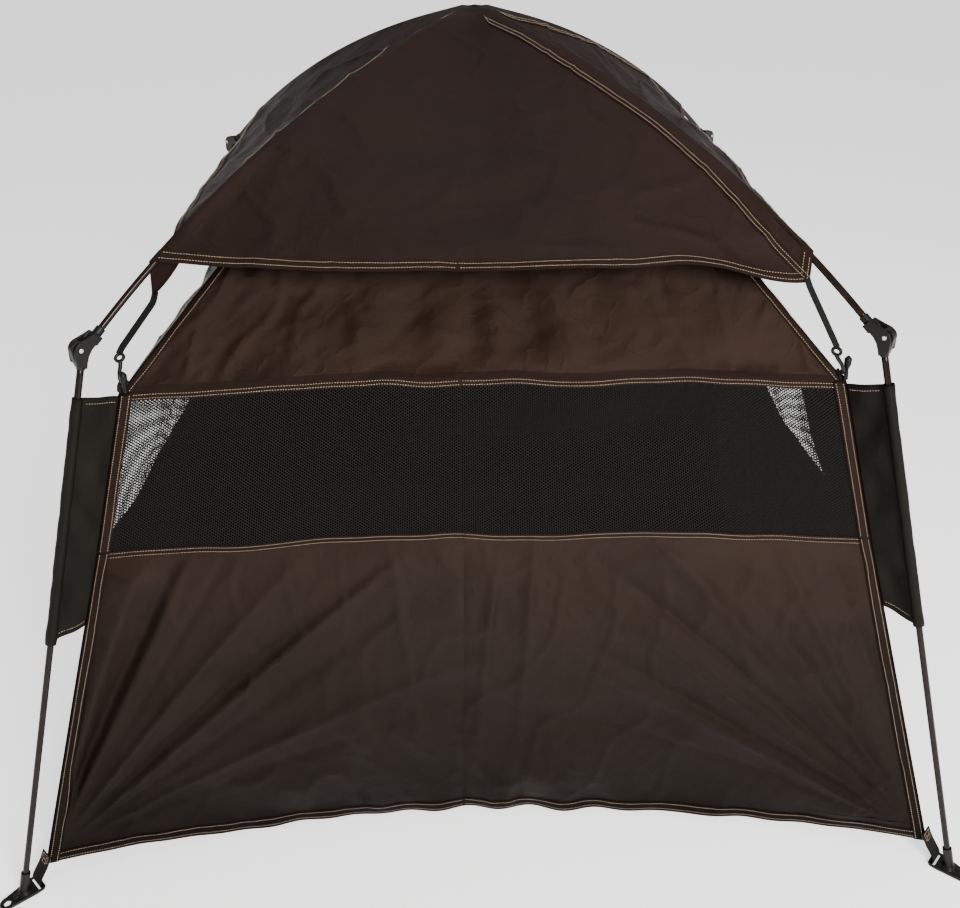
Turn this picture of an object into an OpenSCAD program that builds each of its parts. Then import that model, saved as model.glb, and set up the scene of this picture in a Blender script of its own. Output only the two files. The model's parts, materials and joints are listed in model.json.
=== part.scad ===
// Square pop-up shelter on an outside frame: a hub, four bowed arms, four elbows, four legs and feet,
// with a sewn cloth body, a mesh window band and a roof fly. Millimetres, +Z up, front towards -Y.

/* [Frame] */
// half the distance between neighbouring feet
foot_reach = 750; // [600:1:900]
// half the distance between neighbouring elbows, where the rod lines cross
knee_reach = 540; // [450:1:650]
// height where the rod lines cross at an elbow
knee_height = 857; // [700:1:1000]
// height of the hub pivots
hub_height = 1188; // [1000:1:1400]
// distance of the hub pivots from the middle
hub_reach = 38; // [34:1:60]
// half the angle that each arm bows through
bow_angle = 12; // [4:0.5:16]
// radius of the round rod in the arms and legs
rod_r = 4.75; // [3:0.05:8]

/* [Hardware] */
// radius of the plastic sleeves at the elbows
sleeve_r = 6.6; // [6:0.1:12]
// thickness of each elbow cheek
cheek_t = 4; // [2:0.5:6]
// radius of the elbow rivet
rivet_r = 2.2; // [2:0.1:4]
// how far the elbow rivet stands outwards from the crossing of the rod lines
pivot_out = 5.6; // [0:0.1:10]
// how far the elbow rivet stands above that crossing
pivot_up = 6.6; // [0:0.1:10]
// thickness of the foot plate
foot_t = 5; // [3:0.5:8]
// width of the foot plate
foot_w = 34; // [24:1:50]
// radius of the stake hole
stake_hole_r = 5.5; // [3:0.1:6]
// distance of the stake hole beyond the leg
stake_out = 28; // [25:1:60]
// width of the foot webbing
strap_w = 25; // [15:1:30]

/* [Cloth] */
// half width of the body at its bottom corners
wall_bottom = 718; // [600:1:800]
// height of the bottom corners
wall_bottom_z = 31; // [10:1:60]
// half width at the window's lower seam
window_low = 574; // [450:1:700]
// height of the window's lower seam
window_low_z = 546; // [400:1:700]
// half width at the window's upper seam
window_top = 513; // [400:1:600]
// height of the window's upper seam
window_top_z = 778; // [600:1:900]
// half width where the roof goes under the fly
brow_reach = 385; // [300:1:480]
// height where the roof goes under the fly
brow_z = 911; // [800:1:1000]
// half width of the fly at its corners
fly_reach = 470; // [380:1:520]
// height of the fly's hem at mid panel
fly_hem_z = 938; // [900:1:1000]
// distance of the fly's hem from the middle
fly_hem_y = 472; // [400:1:520]
// how far the bottom hem curves in at mid panel
hem_bow = 104; // [0:1:160]
// how far the window seams curve in at mid panel
seam_bow = 30; // [0:1:60]
// thickness that each cloth panel is drawn with
cloth_t = 0.8; // [0.5:0.1:2]

/* [Hidden] */
$fn = 40;
gap = 1.4;
s2 = sqrt(2);
corner_names = ["fr", "rr", "rl", "fl"];
knee = [knee_reach * s2, knee_height];
pivot = knee + [pivot_out, pivot_up];
hub_pin = [hub_reach, hub_height];
foot = [foot_reach * s2, 8];
stub = 60;
chord = norm(hub_pin - knee);
chord_a = atan2(hub_pin[1] - knee[1], hub_pin[0] - knee[0]);
arm_a = chord_a - bow_angle;
end_a = chord_a + bow_angle;
bow_r = (chord - 2 * stub * cos(bow_angle)) / (2 * sin(bow_angle));
arc_start = knee + stub * dir(arm_a);
arc_end = hub_pin - stub * dir(end_a);
arc_mid = arc_start - bow_r * dir(arm_a - 90);
leg_a = atan2(foot[1] - knee[1], foot[0] - knee[0]);
leg_len = norm(foot - knee);
top_z = 1213;
cols = 8;
rows = 10;
fly_clear = 1.8;
corner_drop = 34;

function dir(a) = [cos(a), sin(a)];
function lerp(a, b, t) = a + (b - a) * t;
function radial(r, z) = [r / s2, -r / s2, z];

// height of the arm's middle line at a distance r from the middle
function arm_z(r) =
  r > arc_start[0] ? knee[1] + (r - knee[0]) * tan(arm_a) :
  r < arc_end[0] ? hub_pin[1] + (r - hub_pin[0]) * tan(end_a) :
  arc_mid[1] + sqrt(bow_r * bow_r - (r - arc_mid[0]) * (r - arc_mid[0]));

// puts a part of the front right corner at corner number k, counted towards the rear
module corner(k) { rotate([0, 0, 90 * k]) children(); }

// the upright plane through a corner: x outwards, y up, z across
module corner_plane(k) { corner(k) rotate([0, 0, -45]) rotate([90, 0, 0]) children(); }

// a round bar in that plane
module bar(p, a, from, to, r) {
  translate([p[0], p[1], 0]) rotate([0, 0, a]) rotate([0, 90, 0]) translate([0, 0, from])
    cylinder(h = to - from, r = r);
}

// a thin sheet through a grid of points, thickened towards n
module sheet(grid, n) {
  a = len(grid);
  b = len(grid[0]);
  flat = [for (row = grid) for (p = row) p];
  pts = concat(flat, [for (p = flat) p + n]);
  m = a * b;
  front = [for (i = [0 : a - 2]) for (j = [0 : b - 2]) each [
    [i * b + j, i * b + j + 1, (i + 1) * b + j + 1],
    [i * b + j, (i + 1) * b + j + 1, (i + 1) * b + j]
  ]];
  back = [for (f = front) [f[2] + m, f[1] + m, f[0] + m]];
  rim = concat(
    [for (j = [0 : b - 2]) j],
    [for (i = [0 : a - 2]) i * b + b - 1],
    [for (j = [b - 1 : -1 : 1]) (a - 1) * b + j],
    [for (i = [a - 1 : -1 : 1]) i * b]
  );
  c = len(rim);
  side = [for (i = [0 : c - 1]) let(p = rim[i], q = rim[(i + 1) % c]) each [
    [q, p, p + m], [q, p + m, q + m]
  ]];
  polyhedron(points = pts, faces = concat(front, back, side));
}

// ---- hub ----
module hub_body() {
  color([0.05, 0.05, 0.05]) difference() {
    union() {
      translate([0, 0, hub_height - 13]) cylinder(h = 26, r = hub_reach - 14);
      translate([0, 0, hub_height - 16]) cylinder(h = 4, r = hub_reach - 8);
      for (k = [0 : 3]) for (s = [-1, 1]) corner_plane(k)
        translate([hub_reach - 20, hub_height - 8, s * 7.6 - 2.2]) cube([28, 16, 4.4]);
    }
    for (k = [0 : 3]) corner_plane(k)
      translate([hub_reach, hub_height, -12]) cylinder(h = 24, r = 2.52);
    translate([0, 0, hub_height - 20]) cylinder(h = 40, r = 4);
  }
}

module hub_pins() {
  color([0.6, 0.6, 0.62]) for (k = [0 : 3]) corner_plane(k)
    translate([hub_reach, hub_height, -11]) cylinder(h = 22, r = 2.5);
}

// ---- arms, elbows and legs ----
module arm(k) {
  color([0.10, 0.07, 0.05]) corner_plane(k) difference() {
    union() {
      translate([arc_mid[0], arc_mid[1], 0]) rotate([0, 0, arm_a - 90])
        rotate_extrude(angle = 2 * bow_angle, $fn = 96) translate([bow_r, 0]) circle(r = rod_r, $fn = 24);
      bar(knee, arm_a, 24, stub, rod_r);
      bar(hub_pin, end_a + 180, 0, stub, rod_r);
      translate([hub_pin[0], hub_pin[1], -4.9]) cylinder(h = 9.8, r = 8.4);
    }
    translate([hub_pin[0], hub_pin[1], -6]) cylinder(h = 12, r = 2.56);
  }
}

module elbow_socket(k) {
  wide = 6.3 + cheek_t;
  color([0.06, 0.05, 0.05]) corner_plane(k) difference() {
    union() {
      bar(knee, arm_a, 16, 41, sleeve_r);
      // shield-shaped cheeks with a spur on the inner side
      for (s = [-1, 1]) translate([pivot[0], pivot[1], s * (6.3 + cheek_t / 2) - cheek_t / 2])
        linear_extrude(height = cheek_t) polygon([
          [-25.8, 16.8], [-14, 13.6], [-6.2, 11.8], [0, 10.4], [4.6, 7.6], [8.2, 2.4], [9.6, -5.8],
          [9.8, -18.6], [-2.9, -28.5], [-5.6, -20], [-9.4, -11.6], [-15, -4.6], [-23.2, 1.6], [-33.6, 6.2]
        ]);
      translate([knee[0], knee[1], 0.6 - wide]) rotate([0, 0, arm_a]) translate([17, -6.2, 0])
        cube([9, 12.4, 2 * wide - 1.2]);
    }
    bar(knee, arm_a, 23, 62, rod_r + 0.04);
    translate([pivot[0], pivot[1], -20]) cylinder(h = 40, r = rivet_r + 0.02);
  }
}

module elbow_rivet(k) {
  long = 6.3 + cheek_t;
  color([0.62, 0.60, 0.57]) corner_plane(k) translate([pivot[0], pivot[1], 0]) {
    translate([0, 0, -long]) cylinder(h = 2 * long, r = rivet_r);
    translate([0, 0, long + 0.05]) cylinder(h = 1.4, r = 3.3);
    translate([0, 0, -long - 1.45]) cylinder(h = 1.4, r = 3.3);
    translate([0, 0, -long - 0.1]) cylinder(h = 2 * long + 0.2, r = rivet_r - 0.2);
  }
}

module elbow_knuckle(k) {
  color([0.06, 0.05, 0.05]) corner_plane(k) difference() {
    union() {
      translate([pivot[0], pivot[1], -5.9]) cylinder(h = 11.8, r = 11);
      translate([pivot[0], pivot[1], -5.6]) linear_extrude(height = 11.2)
        polygon([[-10.9, 0], [10.9, 0], [9.8, -14], [7.4, -25.2], [-4, -29.2]]);
      bar(knee, leg_a, 12, 25, 5.95);
    }
    bar(knee, leg_a, 10, 30, rod_r + 0.04);
    translate([pivot[0], pivot[1], -10]) cylinder(h = 20, r = rivet_r + 0.05);
  }
}

module leg(k) {
  color([0.10, 0.07, 0.05]) corner_plane(k) bar(knee, leg_a, 11, leg_len, rod_r);
}

module foot_piece(k) {
  color([0.05, 0.05, 0.05]) corner_plane(k) difference() {
    union() {
      translate([foot[0], 0, 0]) rotate([-90, 0, 0]) {
        linear_extrude(height = foot_t) polygon([
          [-29, 4 - foot_w / 2], [-25, -foot_w / 2], [-15, -foot_w / 2], [stake_out, -11],
          [stake_out, 11], [-15, foot_w / 2], [-25, foot_w / 2], [-29, foot_w / 2 - 4]
        ]);
        translate([stake_out, 0, 0]) cylinder(h = foot_t, r = 11.5);
        cylinder(h = foot_t + 3, r = 10);
      }
      intersection() {
        bar(foot, leg_a + 180, -6, 36, 7.2);
        translate([foot[0] - 40, 0, -20]) cube([80, 60, 40]);
      }
      translate([foot[0] + 6, foot_t - 1, -2]) cube([11, 7, 4]);
    }
    bar(foot, leg_a + 180, -0.1, 60, rod_r + 0.04);
    translate([foot[0] + stake_out, -1, 0]) rotate([-90, 0, 0]) cylinder(h = 30, r = stake_hole_r);
    translate([foot[0] - 25, -1, -strap_w / 2 - 1.5]) cube([7, 20, strap_w + 3]);
  }
}

module foot_strap(k) {
  x = foot[0] - 21.5;
  top = [wall_bottom * s2 + 1.5, wall_bottom_z + 14];
  color([0.04, 0.04, 0.04]) corner_plane(k) translate([0, 0, -strap_w / 2])
    linear_extrude(height = strap_w) polygon([
      [x - 0.8, 1], [x + 0.8, 1], [x + 0.8, 9], [top[0] + 1.6, top[1]], [top[0], top[1]], [x - 0.8, 8]
    ]);
}

// ---- cloth ----
// how steeply the arm falls at a distance r from the middle
function arm_fall(r) = atan2(arm_z(r - 1) - arm_z(r + 1), 2);

// how far the fly hangs below its even slope: its corner droops just in front of the arm
function fly_drop(v, t) =
  t < 0 ? corner_drop * pow(max(0, 2 * v - 1), 2) * (1 + t) * min(1, max(0, (-t - 0.036) / 0.073)) : 0;

// a point of the fly from its crown (v = 0) to its hem (v = 1), and from the middle of the front (t = -1)
// over the arm (t = 0) to the middle of the side (t = 1)
function fly_point(v, t) =
  let(
    r = lerp(12, fly_reach * s2, v),
    over = (rod_r + fly_clear) / cos(arm_fall(r)) + 12 * (1 - v) * (1 - v),
    ridge = [r / s2, -r / s2, min(top_z, arm_z(r) + over)],
    y = lerp(12, fly_hem_y, v),
    z = lerp(top_z, fly_hem_z, v),
    mid = t < 0 ? [gap / 2, -y, z] : [y, -gap / 2, z]
  )
  lerp(ridge, mid, abs(t)) - [0, 0, 14 * sin(180 * abs(t)) * v * v + fly_drop(v, t)];

module fly(k) {
  color([0.13, 0.10, 0.085]) corner(k) sheet(
    [for (i = [0 : rows]) [for (j = [-cols : cols])
      fly_point(0.02 + 0.98 * i / rows, sign(j) * pow(abs(j) / cols, 1.6))]],
    [0, 0, cloth_t]
  );
}

// the inner roof, from under the hub to the window's upper seam
function roof_profile(v) =
  v < 0.7 ? [lerp(10, brow_reach, v / 0.7), lerp(1158, brow_z, v / 0.7) + 16 * sin(180 * v / 0.7)] :
  [lerp(brow_reach, window_top, (v - 0.7) / 0.3), lerp(brow_z, window_top_z + 0.6, (v - 0.7) / 0.3)];

function roof_point(v, t) =
  let(
    p = roof_profile(v),
    u = abs(t),
    a = p[0],
    b = a - seam_bow * v * (1 - (1 - u) * (1 - u))
  )
  t < 0 ? [lerp(a, gap / 2, u), -b, p[1]] : [b, -lerp(a, gap / 2, u), p[1]];

module roof(k) {
  n = 10;
  color([0.09, 0.07, 0.06]) corner(k) sheet(
    [for (i = [0 : n]) [for (j = [-cols : cols]) roof_point(i / n, j / cols)]],
    [0, 0, cloth_t]
  );
}

function wall_reach(z) = z > window_low_z ?
  lerp(window_low, window_top, (z - window_low_z) / (window_top_z - window_low_z)) :
  lerp(wall_bottom, window_low, (z - wall_bottom_z) / (window_low_z - wall_bottom_z));

function wall_point(z, t) =
  let(
    u = abs(t),
    a = wall_reach(z),
    low = max(0, (window_low_z - z) / (window_low_z - wall_bottom_z)),
    bow = lerp(seam_bow, hem_bow, low),
    b = a - bow * (1 - (1 - u) * (1 - u)),
    h = z - 24 * low * low * low * (1 - (1 - u) * (1 - u))
  )
  t < 0 ? [lerp(a, gap / 2, u), -b, h] : [b, -lerp(a, gap / 2, u), h];

module wall_band(k, z0, z1, n) {
  corner(k) sheet(
    [for (i = [0 : n]) [for (j = [-cols : cols]) wall_point(lerp(z1, z0, i / n), j / cols)]],
    [-cloth_t * 0.7, cloth_t * 0.7, 0]
  );
}

module window_band(k) {
  color([0.03, 0.03, 0.03]) wall_band(k, window_low_z + gap, window_top_z, 3);
}

door_low = 70;
door_high = 500;
door_near = 70;
door_far = 430;

module door_cut(extra) {
  translate([door_near - extra, 500, door_low - extra])
    cube([door_far - door_near + 2 * extra, 300, door_high - door_low + 2 * extra]);
}

module wall(k) {
  color([0.12, 0.09, 0.08]) difference() {
    wall_band(k, wall_bottom_z, window_low_z, rows);
    if (k == 1) door_cut(0.4);
  }
}

module door_panel() {
  color([0.12, 0.09, 0.08]) intersection() {
    wall_band(1, wall_bottom_z, window_low_z, rows);
    door_cut(0);
  }
}

module zip_slider() {
  z = door_low + 12;
  y = -wall_point(z, -1 + (door_near - 11) / wall_reach(z))[1] + 0.9;
  color([0.5, 0.5, 0.5]) translate([door_near - 11, y, z]) {
    translate([-3.5, 0, 0]) cube([7, 5, 11]);
    translate([-2, 5.1, -14]) cube([4, 1.6, 22]);
    translate([-1.5, 4, 2]) cube([3, 2, 4]);
  }
}

module wing(k) {
  z_top = window_top_z - 2;
  z_low = 438;
  t_top = (knee[1] - z_top - 24) / sin(-leg_a);
  t_low = (knee[1] - z_low) / sin(-leg_a);
  p_top = knee + t_top * dir(leg_a);
  p_low = knee + t_low * dir(leg_a);
  color([0.03, 0.03, 0.03]) corner_plane(k) difference() {
    union() {
      translate([0, 0, -0.6]) linear_extrude(height = 1.2) polygon([
        [wall_reach(z_top) * s2 + 1.6, z_top], p_top, p_low, [wall_reach(z_low) * s2 + 1.6, z_low]
      ]);
      bar(knee, leg_a, t_top, t_low, rod_r + 1.8);
    }
    bar(knee, leg_a, t_top - 10, t_low + 10, rod_r + 0.3);
  }
}

module fly_hook(k) {
  top = [fly_reach * s2 - 14, arm_z(fly_reach * s2) - rod_r - 14];
  low = [window_top * s2 - 10, window_top_z + 62];
  color([0.05, 0.05, 0.05]) corner_plane(k) {
    translate([0, 0, -5]) linear_extrude(height = 10)
      polygon([[top[0], top[1]], [top[0] + 2, top[1] + 1], [low[0] + 1.4, low[1] + 1], [low[0], low[1]]]);
    translate([0, 0, -2.2]) linear_extrude(height = 4.4) difference() {
      translate([low[0] + 0.4, low[1] - 4]) circle(r = 8);
      translate([low[0] + 0.4, low[1] - 6]) circle(r = 3.4);
    }
    translate([0, 0, -2.2]) linear_extrude(height = 4.4) polygon([
      [low[0] - 4, low[1] - 10], [low[0] + 4, low[1] - 10], [low[0] + 12, low[1] - 30],
      [low[0] + 10, low[1] - 44], [low[0] + 4, low[1] - 46], [low[0] + 5, low[1] - 32]
    ]);
  }
}

function floor_point(i, j, n) =
  let(
    x = lerp(gap / 2, wall_bottom - 8, i / n),
    y = lerp(gap / 2, wall_bottom - 8, j / n),
    fx = i / n,
    fy = j / n
  )
  [x - (hem_bow + 4) * fx * (1 - fy * fy), -y + (hem_bow + 4) * fy * (1 - fx * fx), 2.2];

module floor_piece(k) {
  n = 8;
  color([0.02, 0.02, 0.02]) corner(k) sheet(
    [for (i = [0 : n]) [for (j = [0 : n]) floor_point(i, j, n)]],
    [0, 0, cloth_t]
  );
}

hub_body();
hub_pins();
arm(3);  // arm_fl
arm(0);  // arm_fr
arm(2);  // arm_rl
arm(1);  // arm_rr
elbow_socket(3);  // elbow_socket_fl
elbow_socket(0);  // elbow_socket_fr
elbow_socket(2);  // elbow_socket_rl
elbow_socket(1);  // elbow_socket_rr
elbow_rivet(3);  // elbow_rivet_fl
elbow_rivet(0);  // elbow_rivet_fr
elbow_rivet(2);  // elbow_rivet_rl
elbow_rivet(1);  // elbow_rivet_rr
elbow_knuckle(3);  // elbow_knuckle_fl
elbow_knuckle(0);  // elbow_knuckle_fr
elbow_knuckle(2);  // elbow_knuckle_rl
elbow_knuckle(1);  // elbow_knuckle_rr
leg(3);  // leg_fl
leg(0);  // leg_fr
leg(2);  // leg_rl
leg(1);  // leg_rr
foot_piece(3);  // foot_fl
foot_piece(0);  // foot_fr
foot_piece(2);  // foot_rl
foot_piece(1);  // foot_rr
foot_strap(3);  // foot_strap_fl
foot_strap(0);  // foot_strap_fr
foot_strap(2);  // foot_strap_rl
foot_strap(1);  // foot_strap_rr
fly(3);  // fly_fl
fly(0);  // fly_fr
fly(2);  // fly_rl
fly(1);  // fly_rr
roof(3);  // roof_fl
roof(0);  // roof_fr
roof(2);  // roof_rl
roof(1);  // roof_rr
window_band(3);  // window_fl
window_band(0);  // window_fr
window_band(2);  // window_rl
window_band(1);  // window_rr
wall(3);  // wall_fl
wall(0);  // wall_fr
wall(2);  // wall_rl
wall(1);  // wall_rr
wing(3);  // wing_fl
wing(0);  // wing_fr
wing(2);  // wing_rl
wing(1);  // wing_rr
fly_hook(3);  // fly_hook_fl
fly_hook(0);  // fly_hook_fr
fly_hook(2);  // fly_hook_rl
fly_hook(1);  // fly_hook_rr
floor_piece(3);  // floor_fl
floor_piece(0);  // floor_fr
floor_piece(2);  // floor_rl
floor_piece(1);  // floor_rr
door_panel();
zip_slider();
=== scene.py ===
import json
import math

import bmesh
import bpy
import numpy as np
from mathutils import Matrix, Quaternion, Vector


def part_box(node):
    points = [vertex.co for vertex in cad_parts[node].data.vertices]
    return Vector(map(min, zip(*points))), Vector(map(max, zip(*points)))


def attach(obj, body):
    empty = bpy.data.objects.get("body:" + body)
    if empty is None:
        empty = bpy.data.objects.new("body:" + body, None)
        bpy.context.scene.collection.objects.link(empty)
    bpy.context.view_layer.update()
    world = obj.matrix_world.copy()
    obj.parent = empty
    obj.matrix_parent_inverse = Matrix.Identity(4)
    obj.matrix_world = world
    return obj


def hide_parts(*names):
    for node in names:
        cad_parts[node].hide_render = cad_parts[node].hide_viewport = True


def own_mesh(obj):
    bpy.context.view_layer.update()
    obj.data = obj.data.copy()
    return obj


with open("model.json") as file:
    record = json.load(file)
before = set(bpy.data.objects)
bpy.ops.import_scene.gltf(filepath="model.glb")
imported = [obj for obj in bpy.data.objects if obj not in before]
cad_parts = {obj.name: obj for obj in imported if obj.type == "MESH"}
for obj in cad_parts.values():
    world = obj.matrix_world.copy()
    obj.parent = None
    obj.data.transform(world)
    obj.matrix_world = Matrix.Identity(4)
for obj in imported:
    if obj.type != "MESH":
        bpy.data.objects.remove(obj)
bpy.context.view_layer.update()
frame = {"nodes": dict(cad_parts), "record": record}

CORNERS = ["fr", "rr", "rl", "fl"]  # corner k is the front right one turned by 90 * k degrees
JOINTS = {j["name"]: j for j in frame["record"]["behaviour"]["joints"]}
S2 = math.sqrt(2)


# -------- sizes, from the frame where it has them
def hi(node):
    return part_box(node)[1]


def lo(node):
    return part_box(node)[0]


def reach_of(joint):
    """(distance from the middle, height) of a corner joint."""
    x, y, z = JOINTS[joint]["pos_m"]
    return math.hypot(x, y), z


RIVET_OFF = [0.0056, 0.0066]  # the elbow's rivet stands outside and above the point where the rod lines cross
KNEE = np.array(reach_of("elbow_fr")) - RIVET_OFF
HUB = np.array(reach_of("arm_pivot_fr"))
FOOT_OUT, FOOT_Z = 0.297, 0.008  # the leg's lower end, outwards from the knee, and above the ground
FOOT = np.array([KNEE[0] + FOOT_OUT, FOOT_Z])
ROD = 0.00475  # radius
WALL_BOTTOM, WALL_Z = hi("wall_fr").x, 0.031
WINDOW_LOW, WINDOW_LOW_Z = hi("window_fr").x, hi("wall_fr").z
WINDOW_TOP, WINDOW_TOP_Z = hi("roof_fr").x, hi("window_fr").z
FLY_Y, FLY_TOP = hi("fly_fr").x, hi("fly_fr").z
FLY_END, FLY_HEM_Z = 0.470 * S2 - 0.020, 0.938  # where the fly's ridge ends, and its hem at mid panel
FLY_CROWN, ROOF_CROWN, ROOF_TOP = 0.012, 0.010, 1.158  # where the fly and the roof start at the hub
BROW, BROW_Z, BROW_V = 0.385, 0.911, 0.7  # the roof's edge under the fly's hem, and its v
HEM_BOW, SEAM_BOW = 0.104, 0.030  # how far the wall's hem and seams bow inwards at mid panel
BOW_ANGLE, STUB = math.radians(12), 0.060  # half of the arm's bend, and the straight length at its ends
CLOTH, BINDING_CLOTH, BINDING = 0.0009, 0.0012, 0.017  # thickness of cloth and bindings, and half width
HOOK_TAPE, LOOP_TAPE, FOOT_TAPE = 0.014, 0.010, 0.025  # widths of webbing


def heading(a):
    return np.array([math.cos(a), math.sin(a)])


ARM_A = math.atan2(*(HUB - KNEE)[::-1]) - BOW_ANGLE
END_A = ARM_A + 2 * BOW_ANGLE
CHORD = float(np.linalg.norm(HUB - KNEE))
BOW_R = (CHORD - 2 * STUB * math.cos(BOW_ANGLE)) / (2 * math.sin(BOW_ANGLE))
ARC_START = KNEE + STUB * heading(ARM_A)
ARC_END = HUB - STUB * heading(END_A)
ARC_MID = ARC_START - BOW_R * heading(ARM_A - math.pi / 2)
LEG_A = math.atan2(*(FOOT - KNEE)[::-1])


def arm_z(r):
    """Height of the arm's middle line at a distance r from the middle."""
    r = np.asarray(r, float)
    arc = ARC_MID[1] + np.sqrt(np.maximum(BOW_R**2 - (r - ARC_MID[0]) ** 2, 0))
    low = KNEE[1] + (r - KNEE[0]) * math.tan(ARM_A)
    high = HUB[1] + (r - HUB[0]) * math.tan(END_A)
    return np.where(r > ARC_START[0], low, np.where(r < ARC_END[0], high, arc))


# -------- small helpers
def turn(p, quarter):
    """Points turned by that many quarter turns about Z."""
    p = np.asarray(p, float)
    c, s = [(1, 0), (0, 1), (-1, 0), (0, -1)][quarter % 4]
    return np.stack([c * p[..., 0] - s * p[..., 1], s * p[..., 0] + c * p[..., 1], p[..., 2]], -1)


def in_plane(p, k):
    """Points (out, across, up) of the upright plane through corner k, in the row frame."""
    p = np.asarray(p, float)
    flat = np.stack([(p[..., 0] + p[..., 1]) / S2, (p[..., 1] - p[..., 0]) / S2, p[..., 2]], -1)
    return turn(flat, k)


def upright(path, k):
    """A path of (out, up) points in the upright plane through corner k."""
    path = np.asarray(path, float)
    return in_plane(np.stack([path[:, 0], 0 * path[:, 0], path[:, 1]], -1), k)


def running(d):
    """Running total, from 0."""
    return np.concatenate([[0], np.cumsum(d)])


def along(path):
    """Distance along a path at each of its points."""
    return running(np.linalg.norm(np.diff(path, axis=0), axis=1))


def point_at(c, s, pts):
    """What is at distance c along points whose distances are s."""
    return np.array([np.interp(c, s, pts[:, i]) for i in range(3)])


def spread(p):
    """Mean distance of a grid's columns and rows from its first ones."""
    d = running(np.linalg.norm(np.diff(p, axis=1), axis=-1).mean(0))
    return d, running(np.linalg.norm(np.diff(p, axis=0), axis=-1).mean(1))


def facing(p, i, j):
    """The way that a grid's face at (i, j) looks."""
    return np.cross(p[i, j + 1] - p[i, j], p[i + 1, j] - p[i, j])


def uv_of(x, y):
    return np.stack(np.broadcast_arrays(x, y), -1).reshape(-1, 2)


def smooth(x, a, b):
    t = np.clip((x - a) / (b - a), 0, 1)
    return t * t * (3 - 2 * t)


class Waves:
    """Soft seeded noise made of plane waves, from about -1 to 1."""

    def __init__(self, seed, low, high, n=18):
        rng = np.random.RandomState(seed)
        a = rng.uniform(0, 2 * math.pi, n)
        f = 2 * math.pi / np.exp(rng.uniform(math.log(low), math.log(high), n))
        self.kx, self.ky = f * np.cos(a), f * np.sin(a)
        self.ph, self.n = rng.uniform(0, 2 * math.pi, n), n

    def __call__(self, x, y):
        x, y = np.asarray(x, float), np.asarray(y, float)
        out = 0
        for kx, ky, ph in zip(self.kx, self.ky, self.ph):
            out = out + np.sin(kx * x + ky * y + ph)
        return out / math.sqrt(self.n) / 1.4


def new_object(name, data):
    o = bpy.data.objects.new(name, data)
    bpy.context.scene.collection.objects.link(o)
    return o


def mesh_object(name, verts, faces, material, uv=None):
    me = bpy.data.meshes.new(name)
    verts = [tuple(v) for v in np.reshape(verts, (-1, 3))]
    me.from_pydata(verts, [], [tuple(int(i) for i in f) for f in faces])
    if uv is not None:
        layer = me.uv_layers.new(name="UVMap")
        loops = np.zeros(len(me.loops), np.int64)
        me.loops.foreach_get("vertex_index", loops)
        layer.data.foreach_set("uv", np.asarray(uv, float)[loops].ravel())
    me.polygons.foreach_set("use_smooth", [True] * len(me.polygons))
    me.materials.append(material)
    return new_object(name, me)


def grid_faces(a, b, flip=False):
    i = np.arange(a - 1)[:, None] * b + np.arange(b - 1)[None, :]
    f = np.stack([i, i + 1, i + b + 1, i + b], -1).reshape(-1, 4)
    return f[:, ::-1] if flip else f


def spaced(a, b, n, power=1.0):
    """Positions from a to b with one more close to each end, so that an edge's shading stays narrow."""
    t, close = np.linspace(0, 1, n) ** power, 0.02 / n
    return a + (b - a) * np.concatenate([[0, close], t[1:-1], [1 - close, 1]])


def thicken(o, thickness, offset=-1.0):
    m = o.modifiers.new("thickness", "SOLIDIFY")
    m.thickness, m.offset, m.use_even_offset = thickness, offset, False
    return o


def tube(name, path, radius, material, sides=20, caps=True):
    """A round tube along a path of points; radius is one number or one for each point."""
    path = np.asarray(path, float)
    r = np.broadcast_to(np.asarray(radius, float), len(path))
    t = np.gradient(path, axis=0)
    t /= np.linalg.norm(t, axis=1)[:, None]
    up = np.array([0, 0, 1.0]) if abs(t[0][2]) < 0.9 else np.array([1.0, 0, 0])
    verts, a = [], np.linspace(0, 2 * math.pi, sides, endpoint=False)
    n = np.cross(t[0], up)
    for p, d, rr in zip(path, t, r):
        n = n - d * n.dot(d)
        n /= np.linalg.norm(n)
        b = np.cross(d, n)
        verts.append(p + rr * (np.cos(a)[:, None] * n + np.sin(a)[:, None] * b))
    verts = np.concatenate(verts)
    faces = []
    for i in range(len(path) - 1):
        for j in range(sides):
            k = (j + 1) % sides
            faces.append([i * sides + j, i * sides + k, (i + 1) * sides + k, (i + 1) * sides + j])
    if caps:
        faces.append(list(range(sides))[::-1])
        faces.append([(len(path) - 1) * sides + j for j in range(sides)])
    uv = np.stack([np.tile(a / (2 * math.pi), len(path)) * 0.03, np.repeat(along(path), sides)], -1)
    return mesh_object(name, verts, faces, material, uv)


def stitches(name, rows, material=None, pitch=0.0038, length=0.0031, radius=0.00042):
    """Stitches along each row (points, outward directions), of thread unless a material is given."""
    verts, faces = [], []
    for pts, out in rows:
        pts, out = np.asarray(pts, float), np.asarray(out, float)
        s = along(pts)
        for c in np.arange(pitch, s[-1] - pitch / 2, pitch):
            p, n = point_at(c, s, pts), point_at(c, s, out)
            d = point_at(c + 0.001, s, pts) - p
            d /= max(np.linalg.norm(d), 1e-9)
            n /= max(np.linalg.norm(n), 1e-9)
            b = np.cross(d, n)
            k, h = len(verts), length / 2
            verts += [p - d * h - n * radius * 0.6, p + d * h - n * radius * 0.6]
            for e in (-0.45, 0.45):
                verts += [p + d * h * e + b * radius, p + d * h * e + n * radius, p + d * h * e - b * radius]
            faces += [
                [k, k + 2, k + 3], [k, k + 3, k + 4], [k + 1, k + 6, k + 5], [k + 1, k + 7, k + 6],
                [k + 2, k + 5, k + 6, k + 3], [k + 3, k + 6, k + 7, k + 4],
                [k, k + 4, k + 7, k + 1], [k, k + 1, k + 5, k + 2],
            ]
    return mesh_object(name, verts, faces, material or THREAD_MAT)


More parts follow.
